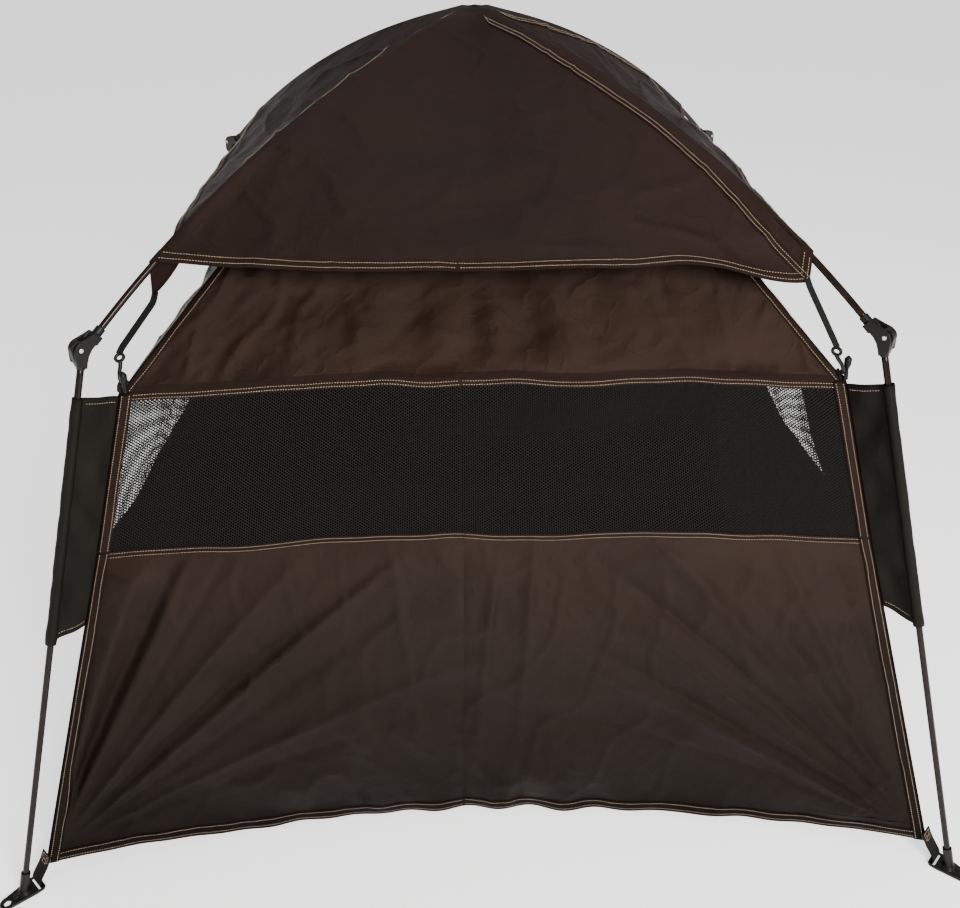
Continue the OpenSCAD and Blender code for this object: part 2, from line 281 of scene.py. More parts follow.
# -------- materials
def nodes_of(name):
    """A new material: (material, node tree, shader, object coordinates, u, v)."""
    m = bpy.data.materials.new(name)
    m.use_nodes = True
    t = m.node_tree
    t.nodes.clear()
    out = t.nodes.new("ShaderNodeOutputMaterial")
    b = t.nodes.new("ShaderNodeBsdfPrincipled")
    t.links.new(b.outputs[0], out.inputs[0])
    tc = t.nodes.new("ShaderNodeTexCoord")
    return m, t, b, tc.outputs["Object"], *split(t, tc.outputs["UV"])[:2]


def split(t, vector):
    sep = t.nodes.new("ShaderNodeSeparateXYZ")
    t.links.new(vector, sep.inputs[0])
    return sep.outputs


def math_node(t, op, a, b=None, clamp=False):
    n = t.nodes.new("ShaderNodeMath")
    n.operation, n.use_clamp = op, clamp
    for i, v in enumerate((a, b)):
        if isinstance(v, (int, float)):
            n.inputs[i].default_value = v
        elif v is not None:
            t.links.new(v, n.inputs[i])
    return n.outputs[0]


def add(t, a, b, clamp=False):
    return math_node(t, "ADD", a, b, clamp)


def mul(t, a, b):
    return math_node(t, "MULTIPLY", a, b)


def noise_node(t, vector, scale, detail=4.0, rough=0.55):
    n = t.nodes.new("ShaderNodeTexNoise")
    feed(t, n, Vector=vector, Scale=scale, Detail=detail, Roughness=rough)
    return n.outputs["Fac"]


def ramp(t, fac, *stops):
    """The colour at fac between two stops (position, colour)."""
    n = t.nodes.new("ShaderNodeValToRGB")
    for element, (position, color) in zip(n.color_ramp.elements, stops):
        element.position, element.color = position, (*color, 1)
    t.links.new(fac, n.inputs[0])
    return n.outputs[0]


def brighter(color, by):
    return tuple(min(1, c * by) for c in color)


def feed(t, b, **inputs):
    """Set shader inputs, or link them; a _ in a name stands for a space."""
    for name, value in inputs.items():
        socket = b.inputs[name.replace("_", " ")]
        if isinstance(value, bpy.types.NodeSocket):
            t.links.new(value, socket)
        else:
            socket.default_value = value


def bump(t, bsdf, height, distance):
    n = t.nodes.new("ShaderNodeBump")
    feed(t, n, Height=height, Distance=distance, Strength=1.0)
    t.links.new(n.outputs[0], bsdf.inputs["Normal"])


def cloth(name, base, lit, rough=0.5, shine=0.14, tint=(1.0, 0.78, 0.66), foot=(1.0, 1.0, 1.0)):
    """Woven cloth: crossed threads, slubs, crinkles, and painted shade near the ground: a slow change of
    colour to foot there.
    """
    m, t, b, place, u, v = nodes_of(name)
    height = split(t, place)[2]
    big = noise_node(t, place, 5.0, 5.0, 0.6)
    fine = noise_node(t, place, 260.0, 3.0, 0.6)
    mix = add(t, mul(t, big, 0.8), mul(t, fine, 0.35))
    color_with_painted_shade = t.nodes.new("ShaderNodeVectorMath")
    color_with_painted_shade.operation = "MULTIPLY"
    t.links.new(ramp(t, mix, (0.35, base), (0.78, lit)), color_with_painted_shade.inputs[0])
    # painted shade: the colour is multiplied by foot near the ground, so the lower cloth is darker
    t.links.new(ramp(t, height, (0.02, foot), (0.62, (1.0, 1.0, 1.0))), color_with_painted_shade.inputs[1])
    wx, wy = (math_node(t, "SINE", mul(t, q, 900.0 * 2 * math.pi)) for q in (u, v))
    h = add(t, mul(t, mul(t, wx, wy), 0.5), mul(t, fine, 1.6))
    # crinkles: thin ridges where a slow noise crosses its middle value
    slow = noise_node(t, place, 24.0, 2.0, 0.45)
    ridge = math_node(t, "ABSOLUTE", math_node(t, "SUBTRACT", slow, 0.5))
    ridge = math_node(t, "POWER", math_node(t, "SUBTRACT", 1.0, mul(t, ridge, 3.0), True), 5.0)
    bump(t, b, add(t, h, mul(t, ridge, 2.6)), 0.00018)
    # less gloss on the cloth near the ground, which adds to the painted shade there
    gloss = mul(t, add(t, mul(t, height, 0.9), 0.50, True), shine)
    feed(t, b, Base_Color=color_with_painted_shade.outputs[0], Roughness=add(t, mul(t, big, 0.16), rough - 0.08),
         Specular_IOR_Level=gloss, Specular_Tint=(*tint, 1))
    return m


def hex_mesh(name, color, across=0.00644, up=0.00447, thread=-0.20):
    """Open hexagonal mesh: staggered rows of clear cells between threads."""
    m, t, b, place, u, v = nodes_of(name)
    kx, ky = 2 * math.pi / across, 2 * math.pi / up
    total = None
    for fx, fy in ((kx, ky), (kx, -ky), (2 * kx, 0.0)):
        c = math_node(t, "COSINE", add(t, mul(t, u, fx), mul(t, v, fy)))
        total = c if total is None else add(t, total, c)
    shade = ramp(t, noise_node(t, place, 300.0, 2.0), (0.3, color), (0.8, brighter(color, 1.8)))
    feed(t, b, Alpha=math_node(t, "LESS_THAN", total, thread), Base_Color=shade,
         Roughness=0.7, Specular_IOR_Level=0.08)
    bump(t, b, total, 0.0002)
    return m


def webbing(name, color, lit):
    """Flat woven tape with a herringbone rib."""
    m, t, b, place, u, v = nodes_of(name)
    rib = math_node(t, "SINE", mul(t, v, 2 * math.pi * 620))
    row = math_node(t, "SINE", mul(t, u, 2 * math.pi * 450))
    shade = ramp(t, noise_node(t, place, 200.0, 3.0), (0.3, color), (0.75, lit))
    feed(t, b, Base_Color=shade, Roughness=0.75, Specular_IOR_Level=0.12)
    bump(t, b, add(t, rib, mul(t, row, 0.8)), 0.0002)
    return m


def plastic(name, color, rough=0.42):
    """Moulded plastic with a fine spark-eroded grain and slight scuffs."""
    m, t, b, place, *_ = nodes_of(name)
    fine = noise_node(t, place, 900.0, 3.0, 0.7)
    big = noise_node(t, place, 38.0, 5.0, 0.65)
    shade = ramp(t, big, (0.3, color), (0.8, brighter(color, 1.6)))
    feed(t, b, Base_Color=shade, Roughness=add(t, mul(t, big, 0.25), rough - 0.12), Specular_IOR_Level=0.17)
    bump(t, b, fine, 0.00008)
    return m


def rod_finish(name, color, lit):
    """Dark coated rod, faintly streaked along its length."""
    m, t, b, place, *_ = nodes_of(name)
    streak = noise_node(t, place, 60.0, 4.0, 0.6)
    shade = ramp(t, streak, (0.35, color), (0.75, lit))
    feed(t, b, Base_Color=shade, Roughness=add(t, mul(t, streak, 0.18), 0.16), Metallic=0.2,
         Specular_IOR_Level=0.14, Coat_Weight=0.04, Coat_Roughness=0.12)
    bump(t, b, noise_node(t, place, 500.0, 2.0), 0.00004)
    return m


def steel(name, color, rough=0.3):
    m, t, b, place, *_ = nodes_of(name)
    n = noise_node(t, place, 220.0, 4.0, 0.7)
    shade = ramp(t, n, (0.3, color), (0.8, brighter(color, 1.25)))
    feed(t, b, Base_Color=shade, Roughness=add(t, mul(t, n, 0.3), rough - 0.15), Metallic=0.9)
    return m


FLY_MAT = cloth("fly_cloth", (0.0056, 0.0025, 0.0020), (0.0105, 0.0048, 0.0040), rough=0.50, shine=0.12)
# the foot colour is painted shade: the body cloth is darker and less red near the ground
BODY_MAT = cloth("body_cloth", (0.008, 0.0036, 0.0023), (0.0145, 0.007, 0.0045), 0.42, foot=(0.22, 0.38, 0.42))
# the binding's foot colour is painted shade near the ground as well
BIND_MAT = cloth("binding_cloth", (0.006, 0.0029, 0.0021), (0.0105, 0.0054, 0.004), 0.5, 0.1,
                 foot=(0.3, 0.42, 0.45))
BLACK_MAT = cloth("wing_cloth", (0.0034, 0.0031, 0.0025), (0.0066, 0.006, 0.0048), 0.56, 0.09,
                  tint=(1.0, 0.94, 0.84))
FLOOR_MAT = cloth("floor_cloth", (0.0025, 0.0022, 0.0019), (0.0050, 0.0044, 0.0038), rough=0.7, shine=0.05)
MESH_MAT = hex_mesh("window_mesh", (0.0058, 0.0054, 0.0049))
TAPE_MAT = webbing("black_webbing", (0.0040, 0.0037, 0.0035), (0.0100, 0.0094, 0.0088))
THREAD_MAT = webbing("thread", (0.300, 0.215, 0.150), (0.500, 0.390, 0.280))
PLASTIC_MAT = plastic("black_plastic", (0.0042, 0.0038, 0.0035))
ROD_MAT = rod_finish("dark_rod", (0.0070, 0.0038, 0.0026), (0.0160, 0.0088, 0.0058))
RIVET_MAT = steel("rivet_steel", (0.50, 0.47, 0.43))
ZIP_MAT = steel("zip_steel", (0.32, 0.31, 0.30), 0.4)


# -------- cloth surfaces
# Each side is drawn as the front one and turned. w runs from -1 at its left corner to 1 at its right.
class Wrinkles:
    """The soft waves of one side's cloth, and the creases that fan out of its two lower corners."""

    def __init__(self, side):
        rng = np.random.RandomState(40 + side)
        self.sag = Waves(10 + side, 0.22, 0.55)
        self.mid = Waves(20 + side, 0.07, 0.18)
        self.fine = Waves(30 + side, 0.022, 0.05)
        self.seam = Waves(50 + side, 0.10, 0.35)
        self.seam2 = Waves(60 + side, 0.08, 0.3)
        self.rise = Waves(70 + side, 0.09, 0.26, 9)
        self.folds = []
        for corner in (-1, 1):
            for i in range(9):
                a = math.radians(17 + 6.4 * (i + rng.uniform(-0.3, 0.3)))
                size = rng.uniform(0.6, 1.0) * (1 if i % 2 else -0.8) * (1.5 if 3 <= i <= 5 else 1.0)
                width = math.radians(rng.uniform(0.8, 1.5))
                far, bend = rng.uniform(0.34, 0.66), rng.uniform(-0.10, 0.10)
                self.folds.append((corner, a, width, size, far, bend))

    def crinkle(self, x, y):
        """Thin ridges, 0 to 1, along the lines where a slow wave changes its sign."""
        return np.maximum(0, 1 - 3.0 * np.abs(self.rise(x, y))) ** 2


WRINKLES = [Wrinkles(s) for s in range(4)]
# one long fold with a ridge beside it, at the front's left corner: (corner, angle, width, size, reach, bend)
DEEP_FOLDS = [[(-1, 1.12, 0.040, -2.4, 0.40, 0.10), (-1, 1.20, 0.045, 1.5, 0.40, 0.10)], [], [], []]
OUT = np.array([0, -0.966, 0.259])


def wall_reach(z):
    upper = WINDOW_LOW + (WINDOW_TOP - WINDOW_LOW) * (z - WINDOW_LOW_Z) / (WINDOW_TOP_Z - WINDOW_LOW_Z)
    lower = WALL_BOTTOM + (WINDOW_LOW - WALL_BOTTOM) * (z - WALL_Z) / (WINDOW_LOW_Z - WALL_Z)
    return np.where(z > WINDOW_LOW_Z, upper, lower)


def follow_seam(p, side, w, level, near):
    """Move points as far as near says with the wandering of a window seam."""
    k, edge, x = WRINKLES[side], 1 - w**4, w * 0.5
    p[..., 1] -= 0.004 * k.seam(x, level * 1.7) * edge * near
    p[..., 2] += 0.0035 * k.seam2(x, level * 2.3) * edge * near


def arrays(w, v):
    return np.broadcast_arrays(np.asarray(w, float), np.asarray(v, float))


def wall_v(z):
    """A height on the lower wall as v: 0 at the window's seam, 1 at the hem."""
    return (WINDOW_LOW_Z - z) / (WINDOW_LOW_Z - WALL_Z)


def body_point(side, w, z):
    """A point of the lower wall and window band before its folds."""
    low = np.maximum(0, wall_v(z))
    a = wall_reach(z)
    bow = SEAM_BOW + (HEM_BOW - SEAM_BOW) * low
    b = a - bow * (1 - w**2)
    h = z - 0.024 * low**3 * (1 - w**2)
    return np.stack([a * w, -b, h], -1)


def wall_front(side, w, v):
    """Lower wall: v = 0 at the window seam, 1 at the bottom hem."""
    w, v = arrays(w, v)
    z = WINDOW_LOW_Z + (WALL_Z - WINDOW_LOW_Z) * v
    p = body_point(side, w, z)
    k = WRINKLES[side]
    x, zz = p[..., 0], p[..., 2]
    inside = smooth(v, 0, 0.10) * smooth(1 - v, 0.0, 0.06) * smooth(1 - np.abs(w), 0, 0.05)
    d = 0.0055 * k.sag(x, zz) + 0.0020 * k.mid(x, zz) + 0.00055 * k.fine(x, zz)
    d = d + 0.0026 * k.crinkle(x * 0.8, zz * 0.55)
    for corner, ang, width, size, far, bend in k.folds + DEEP_FOLDS[side]:
        dx = (corner * WALL_BOTTOM - x) * corner
        dz = zz - WALL_Z
        r = np.hypot(dx, dz) + 1e-6
        a = np.abs(np.arctan2(dz, dx) + bend * (r - 0.3) - ang) / (width * (1 + 0.02 / r))
        env = smooth(r, 0.04, 0.16) * (1 - smooth(r, far, far + 0.28))
        d = d + 0.0064 * size * np.exp(-(a**1.4)) * env
    # the sunk middle seam, and three pull lines down from the window's seam
    d = d - 0.0022 * np.exp(-np.abs((x - SEAM_W["wall"] * wall_reach(zz)) / 0.006))
    for at, lean, size in ((0.020, -0.05, 0.0062), (0.075, -0.03, 0.0050), (-0.150, 0.05, 0.0034)):
        pull = size * np.exp(-np.abs((x - at - lean * v) / 0.008) ** 1.4)
        d = d + pull * smooth(v, 0.02, 0.2) * (1 - smooth(v, 0.6, 0.95))
    # slack cloth rumpled above the hem
    rumple = np.exp(-(((x + 0.16) / 0.07) ** 2)) + 0.8 * np.exp(-(((x - 0.09) / 0.10) ** 2))
    d = d + 0.0036 * rumple * np.sin(x * 118 + 5 * np.sin(x * 23 + side)) * smooth(v, 0.70, 0.90)
    d = d + 0.006 * np.exp(-(((v - 0.86) / 0.10) ** 2)) * np.sin(w * 9 + side) * (1 - w**2)
    d = d * inside
    # hem ripple
    hem = smooth(v, 0.85, 1.0) * (1 - w**6)
    ripple = 0.005 * k.mid(x * 0.9, 3.0) + 0.006 * np.exp(-(((x + 0.06) / 0.16) ** 2)) * np.sin(x * 60)
    p = p + d[..., None] * OUT
    p[..., 1] -= hem * ripple
    p[..., 2] += hem * np.maximum(-0.002, 0.004 * k.seam(x, 1.0))
    follow_seam(p, side, w, 0.0, 1 - smooth(v, 0.0, 0.22))
    return p


def window_front(side, w, v):
    """Mesh band: v = 0 at its upper seam, 1 at its lower seam."""
    w, v = arrays(w, v)
    z = WINDOW_TOP_Z + (WINDOW_LOW_Z - WINDOW_TOP_Z) * v
    p = body_point(side, w, z)
    k = WRINKLES[side]
    x, zz = p[..., 0], p[..., 2]
    inside = smooth(v, 0, 0.15) * smooth(1 - v, 0, 0.15) * smooth(1 - np.abs(w), 0, 0.06)
    d = 0.004 * k.sag(x + 3, zz) + 0.0012 * k.mid(x + 2, zz)
    p = p + (d * inside)[..., None] * OUT
    follow_seam(p, side, w, 1.0, 1 - smooth(v, 0, 0.6))
    follow_seam(p, side, w, 0.0, smooth(v, 0.4, 1.0))
    return p


def roof_front(side, w, v):
    """Inner roof: v = 0 under the hub, 1 at the window's upper seam."""
    w, v = arrays(w, v)
    t = np.clip(v / BROW_V, 0, 1)
    s = np.clip((v - BROW_V) / 0.3, 0, 1)
    a = np.where(v < BROW_V, ROOF_CROWN + (BROW - ROOF_CROWN) * t, BROW + (WINDOW_TOP - BROW) * s)
    z = np.where(
        v < BROW_V, ROOF_TOP + (BROW_Z - ROOF_TOP) * t + 0.016 * np.sin(math.pi * t),
        BROW_Z + (WINDOW_TOP_Z - BROW_Z) * s,
    )
    b = a - SEAM_BOW * v * (1 - w**2)
    p = np.stack([a * w, -b, z], -1)
    k = WRINKLES[side]
    x = p[..., 0]
    d = 0.004 * k.sag(x + 5, a * 1.4) + 0.0022 * k.mid(x + 4, a * 1.4) + 0.0007 * k.fine(x + 4, a * 1.4)
    d = d + 0.0022 * k.crinkle(x + 3, a * 0.8)
    # short gathers hanging from under the fly and rising from the seam
    gathers = 0.0030 * np.sin(x * 46 + 3 * np.sin(x * 11 + side))
    d = d + gathers * smooth(v, 0.72, 0.85) * (1 - smooth(v, 0.88, 0.99))
    d = d * smooth(1 - v, 0, 0.05) * smooth(v, 0.05, 0.2) * smooth(1 - np.abs(w), 0, 0.06)
    p = p + d[..., None] * np.array([0, -0.7, 0.7])
    follow_seam(p, side, w, 1.0, smooth(v, 0.86, 1.0))
    return p


def arm_fall(r):
    """How steeply the arm falls at a distance r from the middle, as an angle."""
    return np.arctan2(arm_z(r - 0.001) - arm_z(r + 0.001), 0.002)


TIP_U = 0.061  # where along the hem the corner flap's tip is
# how far each flap's tip hangs out, across and up from the end of its ridge
TIPS = [(0.010, -0.018, -0.038), (0.006, -0.014, -0.042), (0.006, -0.014, -0.042), (0.002, -0.006, -0.055)]


def fly_base(w, v):
    """The fly stretched over its arms, before its flaps and creases; v = 0 at the crown, 1 at the hem."""
    r = FLY_CROWN + (FLY_END - FLY_CROWN) * v
    over = (ROD + 0.0034) / np.cos(arm_fall(r)) + 0.012 * (1 - v) ** 2
    zr = np.minimum(FLY_TOP, arm_z(r) + over)
    y = FLY_CROWN + (FLY_Y - FLY_CROWN) * v
    z = FLY_TOP + (FLY_HEM_Z - FLY_TOP) * v
    u = 1 - np.abs(w)
    px = np.sign(w) * (r / S2) * (1 - u)
    py = -(r / S2 + (y - r / S2) * u)
    pz = zr + (z - zr) * u - 0.008 * np.sin(math.pi * u) * v**2
    return np.stack([px, py, pz], -1)


def fly_tip(side):
    """Where the flap's tip hangs, on the right of a front-facing side."""
    o, a, up = TIPS[side]
    return fly_base(1.0, 1.0) + [(o + a) / S2, (a - o) / S2, up]


def fly_front(side, w, v):
    """Roof fly. Its right corner is a flap that hangs just in front of the arm."""
    w, v = arrays(w, v)
    p = fly_base(w, v)
    u = 1 - np.abs(w)
    # the cloth rounds over the rod
    p[..., 2] -= 0.0012 * np.exp(-((u * p[..., 1] / 0.005) ** 2))
    flap = np.clip(u / TIP_U, 0, 1) * (1 - smooth(u, TIP_U, 0.42)) * smooth(v, 0.70, 1.0) * (w > 0)
    p = p + flap[..., None] * (fly_tip(side) - fly_base(1 - TIP_U, 1.0))
    k = WRINKLES[side]
    px, y = p[..., 0], v * FLY_Y
    d = 0.0035 * k.sag(px + 8, y) + 0.0015 * k.mid(px + 7, y) + 0.00045 * k.fine(px + 7, y)
    d = d + 0.0028 * k.crinkle(px * 0.6 + 5, y * 1.2)
    # cross folds that hang in the middle of the lower half
    sway = 0.0028 * np.sin(v * 30 + 2.2 * np.sin(px * 7 + side)) * np.exp(-((px / 0.16) ** 2))
    d = d + sway * smooth(v, 0.45, 0.7)
    d = d * smooth(u, 0, 0.09) * smooth(v, 0.02, 0.2)
    d = d * (1 - smooth(v, 0.94, 1.0) * 0.6)
    p = p + d[..., None] * np.array([0, -0.5, 0.86])
    hem = smooth(v, 0.9, 1.0) * smooth(u, 0.1, 0.3)
    p[..., 2] += hem * 0.0022 * k.seam(px, 2.0)
    p[..., 1] -= hem * 0.0020 * k.seam2(px, 2.5)
    return p


SURFACES = {"wall": wall_front, "window": window_front, "roof": roof_front, "fly": fly_front}
# The middle seam of each side stands a little to the left of its centre.
SEAM_W = {"wall": -0.058, "window": -0.068, "roof": -0.075, "fly": -0.081}


def surface(kind, side, w, v, off=0.0):
    """Points of a side's cloth, lifted outwards by off."""
    p = SURFACES[kind](side, w, v)
    if off:
        p = p + off * normal(kind, side, w, v)
    return turn(p, side)


def normal(kind, side, w, v):
    """Outward direction of the front-facing cloth, before turning."""
    f, e = SURFACES[kind], 0.004
    w, v = arrays(w, v)
    wa, wb = np.clip(w - e, -1, 1), np.clip(w + e, -1, 1)
    va, vb = np.clip(v - e, 0, 1), np.clip(v + e, 0, 1)
    n = np.cross(f(side, wb, v) - f(side, wa, v), f(side, w, vb) - f(side, w, va))
    n /= np.maximum(np.linalg.norm(n, axis=-1), 1e-12)[..., None]
    flip = np.where(n @ np.array([0, -0.8, 0.6]) < 0, -1, 1)
    return n * flip[..., None]


# -------- how each cloth piece moves
def gather(o, side, k, body=None):
    """A half panel of the body, moving with its corner's lower body unless another body is given."""
    low = np.array([WALL_BOTTOM, -WALL_BOTTOM, WALL_Z])
    high = np.array([WINDOW_TOP, -WINDOW_TOP, WINDOW_TOP_Z])
    e = high - low
    e /= np.linalg.norm(e)
    flat = np.array([-1.0, 0, 0]) if side == k else np.array([0, 1.0, 0])
    n = flat - flat.dot(e) * e
    n /= np.linalg.norm(n)
    c = CORNERS[k]
    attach(o, body or "lower_" + c)
    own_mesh(o)
    return o


def stands_for(o, node, body):
    """A piece that moves with a body and takes the place of a node."""
    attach(o, body)
    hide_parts(node)
    return o


def furl(o, body):
    """A roof, fly or floor quarter, moving with a body."""
    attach(o, body)
    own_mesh(o)
    return o


def halves(k):
    """The two half sides that meet at corner k: (side, w at the corner)."""
    return [(k, 1.0), ((k + 1) % 4, -1.0)]


def panel(name, kind, side, w0, w1, v0, v1, nw, nv, material, off=0.0):
    """A piece of one side's cloth between two w and two v: (object, grid of points)."""
    w, v = np.broadcast_arrays(spaced(w0, w1, nw)[None, :], spaced(v0, v1, nv)[:, None])
    nw, nv = nw + 2, nv + 2
    p = surface(kind, side, w, v, off)
    du, dv = spread(p)
    uv = uv_of(du[None, :] * np.sign(w1 - w0), dv[:, None])
    i, j = nv // 2, nw // 2
    n = turn(normal(kind, side, w[i, j], v[i, j]), side)
    faces = grid_faces(nv, nw, flip=facing(p, i, j).dot(n) < 0)
    return mesh_object(name, p, faces, material, uv), p


def row_on(kind, side, w, v, off=0.0009):
    """One stitch row's points and outward directions."""
    w, v = arrays(w, v)
    n = normal(kind, side, w, v)
    return turn(SURFACES[kind](side, w, v) + off * n, side), turn(n, side)


STEP = 0.0065


def cloth_size(p):
    """Flat width, length and area of a grid of points."""
    w = np.linalg.norm(np.diff(p, axis=1), axis=-1).sum(1)
    h = np.linalg.norm(np.diff(p, axis=0), axis=-1).sum(0)
    a = np.linalg.norm(np.cross(p[1:, :-1] - p[:-1, :-1], p[:-1, 1:] - p[:-1, :-1]), axis=-1).sum()
    width, length = round(float(w.max()), 4), round(float(h.max()), 4)
    return width, length, float(min(max(a, 0.31 * width * length), width * length))


def declare(p, cut_out=0.0):
    width, length, area = cloth_size(p)
    area -= cut_out


def finish_cloth(p, strips, hole=0.0):
    """A brown cloth sheet with the strips and the thread sewn on it."""
    for o in strips:
        thicken(o, BINDING_CLOTH)
    declare(p, hole)


# -------- body: lower walls and mesh windows
DOOR_X, DOOR_Z = (0.070, 0.430), (0.070, 0.500)


def door_mask(p):
    """Which points of the rear side are within the door."""
    x, z = p[..., 0], p[..., 2]
    return (x > DOOR_X[0]) & (x < DOOR_X[1]) & (z > DOOR_Z[0]) & (z < DOOR_Z[1])


for k, c in enumerate(CORNERS):
    for side, wc in halves(k):
        tag = f"{c}_{'a' if side == k else 'b'}"
        n_w, n_v = int(0.74 / STEP), int(0.53 / STEP)
        end = SEAM_W["wall"]
        wall, p = panel("wall_" + tag, "wall", side, wc, end, 0.0, 1.0, n_w, n_v, BODY_MAT)
        has_door = k == 1 and side == 2
        if has_door:
            inside = door_mask(p)
            quads = (inside[:-1, :-1] & inside[1:, :-1] & inside[:-1, 1:] & inside[1:, 1:]).reshape(-1)
            bm = bmesh.new()
            bm.from_mesh(wall.data)
            bm.faces.ensure_lookup_table()
            bmesh.ops.delete(bm, geom=[f for i, f in enumerate(bm.faces) if quads[i]], context="FACES")
            bm.to_mesh(wall.data)
            bm.free()
        thicken(wall, CLOTH)
        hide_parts("wall_" + c)
        hem, _ = panel("wall_hem_" + tag, "wall", side, wc, end, 0.968, 1.0, n_w, 5, BIND_MAT, 0.0009)
        top, _ = panel("sill_tape_" + tag, "wall", side, wc, end, 0.0, 0.021, n_w, 4, BIND_MAT, 0.0009)
        ws = np.linspace(wc * 0.985, end, 160)
        rows = [row_on("wall", side, ws, v, 0.0022) for v in (0.973, 0.990, 0.005, 0.0165)]
        wall_thread = stitches("wall_thread_" + tag, rows)
        hole = (DOOR_X[1] - DOOR_X[0]) * (DOOR_Z[1] - DOOR_Z[0]) if has_door else 0.0
        finish_cloth(p, (hem, top), hole)
        end = SEAM_W["window"]
        mesh, p = panel("window_" + tag, "window", side, wc, end, 0.0, 1.0, n_w // 2, 22, MESH_MAT)
        thicken(mesh, 0.0011)
        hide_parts("window_" + c)
        tape, _ = panel("lintel_tape_" + tag, "window", side, wc, end, 0.0, 0.048, n_w, 4, BIND_MAT, 0.0005)
        rows = [row_on("window", side, np.linspace(wc * 0.985, end, 160), v, 0.0018) for v in (0.0125, 0.035)]
        thread = stitches("window_thread_" + tag, rows)
        finish_cloth(p, (tape,))
        for o in (wall, hem, top, mesh, tape, wall_thread, thread):
            gather(o, side, k)

# a curved cloth shade inside the right window, beside the front corner
nw, nv = 30, 30
v = np.linspace(0, 1, nv)[:, None]
w = -1 + (0.42 - 0.20 * v**1.5) * np.linspace(0, 1, nw)[None, :]
p = surface("window", 1, w, v, -0.004)
uv = uv_of(0.5 * (w + 1), 0.23 * v)
shade = mesh_object("window_shade", p, grid_faces(nv, nw, flip=True), BODY_MAT, uv)
thicken(shade, CLOTH, 0.0)
gather(shade, 1, 0)
declare(p)

# corner bindings down each corner of the body
for k, c in enumerate(CORNERS):
    rows, verts, faces, count = [], [], [], 0
    out = turn(np.array([1.0, -1.0, 0.3]), k)
    for side, wc in halves(k):
        for kind, n, z0, z1 in ("window", 40, WINDOW_TOP_Z, WINDOW_LOW_Z), ("wall", 90, WINDOW_LOW_Z, WALL_Z):
            v = np.linspace(0, 1, n)
            half = BINDING / wall_reach(z0 + (z1 - z0) * v)
            across = [wc * (1 - half * f) for f in (0.0, 0.33, 0.66, 1.0)]
            g = np.stack([surface(kind, side, w, v, 0.0014) for w in across], 1)
            rows += [row_on(kind, side, wc * (1 - half * f), v, 0.0030) for f in (0.2, 0.8)]
            faces.append(grid_faces(n, 4, flip=facing(g, 0, 0).dot(out) < 0) + count)
            verts.append(g.reshape(-1, 3))
            count += n * 4
    verts = np.concatenate(verts)
    bind = mesh_object("corner_binding_" + c, verts, np.concatenate(faces), BIND_MAT, verts[:, [0, 2]])
    thicken(bind, BINDING_CLOTH, 1.0)
    thread = stitches("corner_thread_" + c, rows)
    for o in (bind, thread):
        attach(o, "lower_" + c)

# -------- roof and fly
def ridge_strip(name, kind, side, wc, near, far, vs):
    """A strip of tape beside a ridge, between two distances from it, and the w at those distances."""
    if kind == "fly":
        r = (FLY_CROWN + (FLY_END - FLY_CROWN) * vs) / S2
    else:
        r = np.interp(vs, [0, BROW_V, 1], [ROOF_CROWN, BROW, WINDOW_TOP])
    at = [wc * (1 - np.minimum(d * S2 / r, 0.6)) for d in np.linspace(near, far, 5)]
    g = np.stack([surface(kind, side, w, vs, 0.0010) for w in at], 1)
    flat, flip = g.reshape(-1, 3), facing(g, 60, 0)[2] < 0
    return mesh_object(name, flat, grid_faces(len(vs), 5, flip=flip), BIND_MAT, flat[:, :2]), at


for k, c in enumerate(CORNERS):
    for kind, keep, mat in (("roof", 0.12, BODY_MAT), ("fly", 0.28, FLY_MAT)):
        n, n_v = int(0.50 / STEP), int(0.68 / STEP)
        v = spaced(0.0, 1.0, n_v)[:, None]
        grids = []
        for side, wc in halves(k):
            w = spaced(wc, SEAM_W[kind], n, 1.6)[None, :]
            g = surface(kind, side, *np.broadcast_arrays(w, v))
            grids.append(g[:, ::-1] if side == k else g[:, 1:])
        p = np.concatenate(grids, axis=1)
        d, e = spread(p)
        uv = uv_of(d[None, :], e[:, None])
        faces = grid_faces(*p.shape[:2], flip=facing(p, n_v // 2, n // 2)[2] < 0)
        sheet = mesh_object(f"{kind}_{c}_cloth", p, faces, mat, uv)
        thicken(sheet, CLOTH)
        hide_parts(f"{kind}_{c}")
        extra, rows = [], []
        for side, wc in halves(k):
            tag, end = f"{c}_{'a' if side == k else 'b'}", SEAM_W[kind]
            ws = np.linspace(wc * 0.985, end, 140)
            vs = np.linspace(0.05, 1.0, 120)
            if kind == "fly":
                hem, _ = panel("fly_hem_" + tag, "fly", side, wc, end, 0.972, 1.0, n, 5, BIND_MAT, 0.0008)
                rows += [row_on("fly", side, ws, q, 0.0022) for q in (0.979, 0.9925)]
                if side == k:
                    tape, at = ridge_strip(f"fly_ridge_{c}", "fly", side, wc, 0.0145, 0.0238, vs)
                    extra.append(tape)
                    rows += [row_on("fly", side, at[q], vs, 0.0020) for q in (1, 3)]
            else:
                hem, _ = panel("roof_edge_" + tag, "roof", side, wc, end, 0.984, 1.0, n, 4, BIND_MAT, 0.0008)
                tape, at = ridge_strip("roof_ridge_" + tag, "roof", side, wc, 0.0, 0.010, vs)
                extra.append(tape)
                rows.append(row_on("roof", side, at[3], vs, 0.0020))
            extra.append(hem)
        thread = stitches(f"{kind}_thread_{c}", rows)
        finish_cloth(p, extra)
        for o in (sheet, *extra, thread):
            furl(o, "upper_" + c)

# -------- wings of black cloth from each wall corner to its leg
def leg_point(z):
    return np.array([KNEE[0] + (z - KNEE[1]) / math.tan(LEG_A), z])


